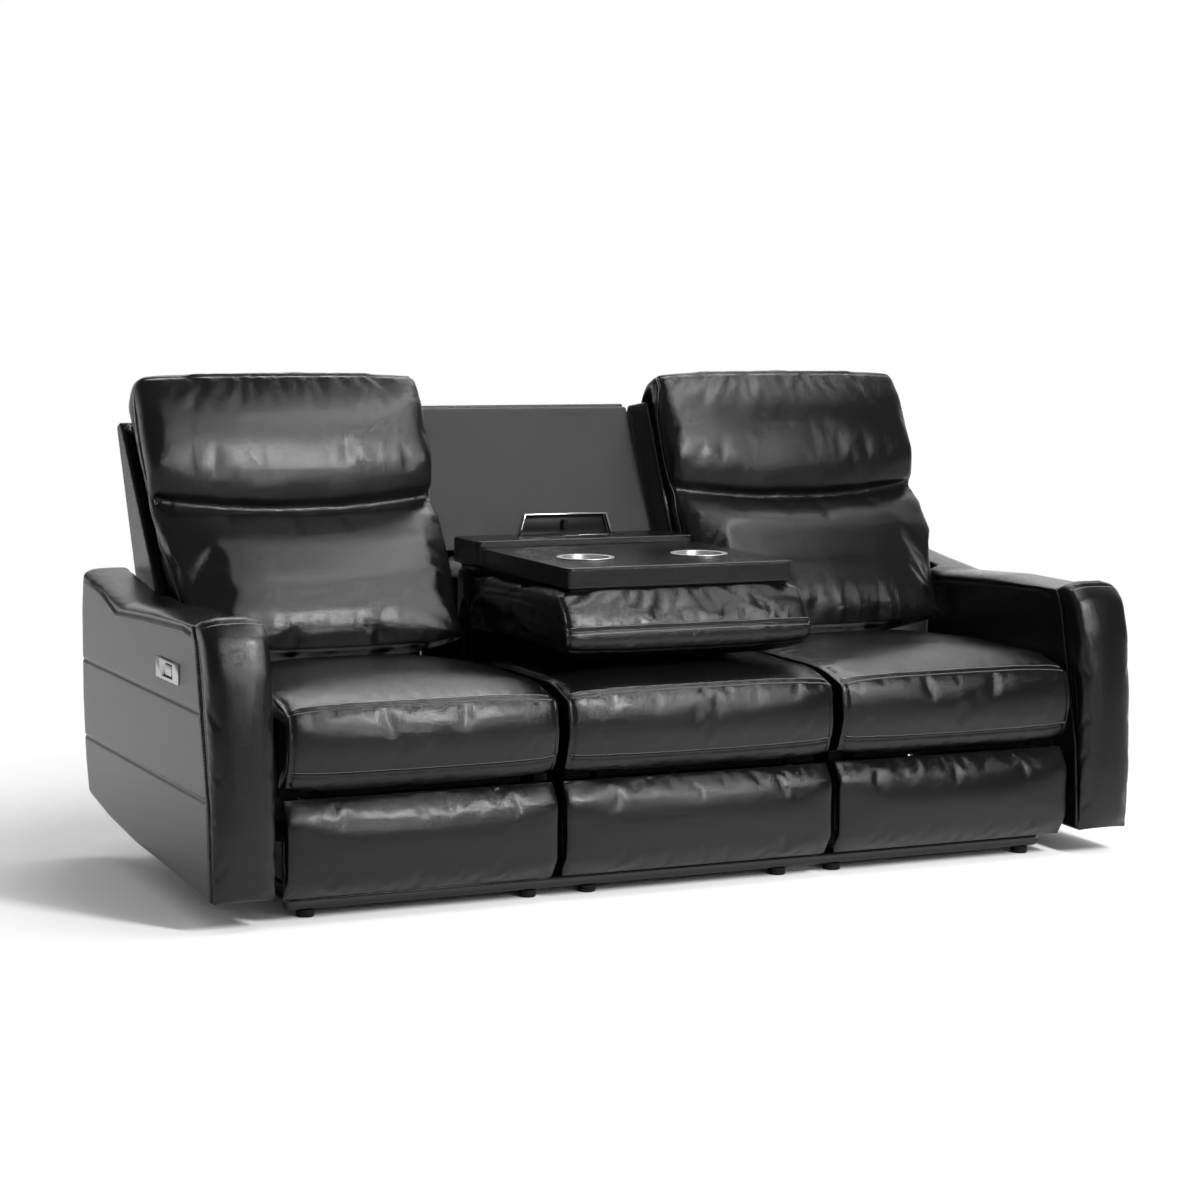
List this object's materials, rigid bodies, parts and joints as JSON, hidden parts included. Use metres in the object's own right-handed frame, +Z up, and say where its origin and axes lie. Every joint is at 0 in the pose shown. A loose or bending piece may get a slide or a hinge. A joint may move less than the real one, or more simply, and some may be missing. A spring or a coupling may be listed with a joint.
{
  "type": "sofa with drop down console",
  "caption": "Black leather reclining sofa; the middle back folds down into a console with a tray and cup holders, and the end seats recline.",
  "frame": {"origin": "on the floor under the centre of the bounding box", "axes": "+X to the viewer's right along the seats, +Y to the back, +Z up"},
  "size_m": [2.2, 1.0894, 1.0793],
  "materials": {
    "leather": "semi-gloss black leather",
    "dull_leather": "matt black leather",
    "black_steel": "black enamel",
    "zinc_steel": "grey zinc plate",
    "chrome": "polished",
    "brushed_steel": "brushed",
    "black_plastic": "satin",
    "timber": "black-stained plywood"
  },
  "bodies": {
    "sofa": {"console_back_panel": "dull_leather", "front_rail": "black_steel", "left_arm_body": "leather", "left_arm_frame": "timber", "left_arm_front_pad": "leather", "left_base_frame": "black_steel", "left_console_bracket": "black_steel", "left_inner_front_glide": "black_plastic", "left_middle_front_glide": "black_plastic", "left_motor": "black_plastic", "left_outer_front_glide": "black_plastic", "left_seat_cushion": "leather", "left_seat_frame": "timber", "left_switch_plate": "brushed_steel", "middle_base_frame": "black_steel", "middle_front_pad": "leather", "middle_outback": "leather", "middle_seat_cushion": "leather", "middle_seat_frame": "timber", "right_arm_body": "leather", "right_arm_frame": "timber", "right_arm_front_pad": "leather", "right_base_frame": "black_steel", "right_console_bracket": "black_steel", "right_inner_front_glide": "black_plastic", "right_middle_front_glide": "black_plastic", "right_motor": "black_plastic", "right_outer_front_glide": "black_plastic", "right_seat_cushion": "leather", "right_seat_frame": "timber", "right_switch_plate": "brushed_steel"},
    "console": {"console_frame": "black_steel", "console_tray": "leather", "console_cushion": "leather", "left_cup_holder": "brushed_steel", "right_cup_holder": "brushed_steel", "console_block": "leather"},
    "hatch": {"hatch_frame": "chrome", "hatch_lid": "black_plastic", "hatch_lamp": "black_plastic"},
    "left_recliner_back": {"left_back_frame": "timber", "left_back_shell": "leather", "left_lumbar_cushion": "leather", "left_headrest_cushion": "leather"},
    "left_drive_arms": {"left_drive_links": "black_steel"},
    "left_footrest_arms": {"left_footrest_links": "black_steel"},
    "left_footrest": {"left_footrest_board": "timber", "left_footrest_pad": "leather"},
    "left_carriage": {"left_motor_carriage": "zinc_steel"},
    "left_rocker": {"left_switch_rocker": "brushed_steel"},
    "right_recliner_back": {"right_back_frame": "timber", "right_back_shell": "leather", "right_lumbar_cushion": "leather", "right_headrest_cushion": "leather"},
    "right_drive_arms": {"right_drive_links": "black_steel"},
    "right_footrest_arms": {"right_footrest_links": "black_steel"},
    "right_footrest": {"right_footrest_board": "timber", "right_footrest_pad": "leather"},
    "right_carriage": {"right_motor_carriage": "zinc_steel"},
    "right_rocker": {"right_switch_rocker": "brushed_steel"}
  },
  "joints": [
    {"name": "left_recline", "type": "hinge", "parent": "sofa", "child": "left_recliner_back", "pos_m": [-0.637, 0.09153, 0.4], "axis": [-1, 0, 0], "range_deg": [0, 38]},
    {"name": "left_drive", "type": "hinge", "parent": "sofa", "child": "left_drive_arms", "pos_m": [-0.637, -0.37947, 0.268], "axis": [-1, 0, 0], "range_deg": [0, 133.8]},
    {"name": "left_extend", "type": "hinge", "parent": "left_drive_arms", "child": "left_footrest_arms", "pos_m": [-0.637, -0.20383, 0.16822], "axis": [1, 0, 0], "range_deg": [0, 111.3]},
    {"name": "left_footrest_tilt", "type": "hinge", "parent": "left_footrest_arms", "child": "left_footrest", "pos_m": [-0.637, -0.44347, 0.171], "axis": [-1, 0, 0], "range_deg": [0, 67.5]},
    {"name": "left_carriage_travel", "type": "slide", "parent": "sofa", "child": "left_carriage", "axis": [0, -1, 0], "range_m": [0, 0.14]},
    {"name": "left_switch", "type": "hinge", "parent": "sofa", "child": "left_rocker", "pos_m": [-1.09, -0.23647, 0.4935], "axis": [0, 0, 1], "range_deg": [-8, 8], "stiffness_Nm_per_rad": 0.05},
    {"name": "right_recline", "type": "hinge", "parent": "sofa", "child": "right_recliner_back", "pos_m": [0.637, 0.09153, 0.4], "axis": [-1, 0, 0], "range_deg": [0, 38]},
    {"name": "right_drive", "type": "hinge", "parent": "sofa", "child": "right_drive_arms", "pos_m": [0.637, -0.37947, 0.268], "axis": [-1, 0, 0], "range_deg": [0, 133.8]},
    {"name": "right_extend", "type": "hinge", "parent": "right_drive_arms", "child": "right_footrest_arms", "pos_m": [0.637, -0.20383, 0.16822], "axis": [1, 0, 0], "range_deg": [0, 111.3]},
    {"name": "right_footrest_tilt", "type": "hinge", "parent": "right_footrest_arms", "child": "right_footrest", "pos_m": [0.637, -0.44347, 0.171], "axis": [-1, 0, 0], "range_deg": [0, 67.5]},
    {"name": "right_carriage_travel", "type": "slide", "parent": "sofa", "child": "right_carriage", "axis": [0, -1, 0], "range_m": [0, 0.14]},
    {"name": "right_switch", "type": "hinge", "parent": "sofa", "child": "right_rocker", "pos_m": [1.09, -0.23647, 0.4935], "axis": [0, 0, 1], "range_deg": [-8, 8], "stiffness_Nm_per_rad": 0.05},
    {"name": "console_fold", "type": "hinge", "parent": "sofa", "child": "console", "pos_m": [0, 0.11153, 0.55], "axis": [-1, 0, 0], "range_deg": [0, 117]},
    {"name": "hatch_fold", "type": "hinge", "parent": "console", "child": "hatch", "pos_m": [0, 0.21153, 0.699], "axis": [1, 0, 0], "range_deg": [0, 88]}
  ],
  "couplings": [
    {"joint": "left_drive", "follows": "left_recline", "ratio": 3.521},
    {"joint": "left_extend", "follows": "left_recline", "ratio": 2.9289},
    {"joint": "left_footrest_tilt", "follows": "left_recline", "ratio": 1.7763},
    {"joint": "left_carriage_travel", "follows": "left_recline", "m_per_rad": 0.211},
    {"joint": "right_drive", "follows": "right_recline", "ratio": 3.521},
    {"joint": "right_extend", "follows": "right_recline", "ratio": 2.9289},
    {"joint": "right_footrest_tilt", "follows": "right_recline", "ratio": 1.7763},
    {"joint": "right_carriage_travel", "follows": "right_recline", "m_per_rad": 0.211}
  ]
}
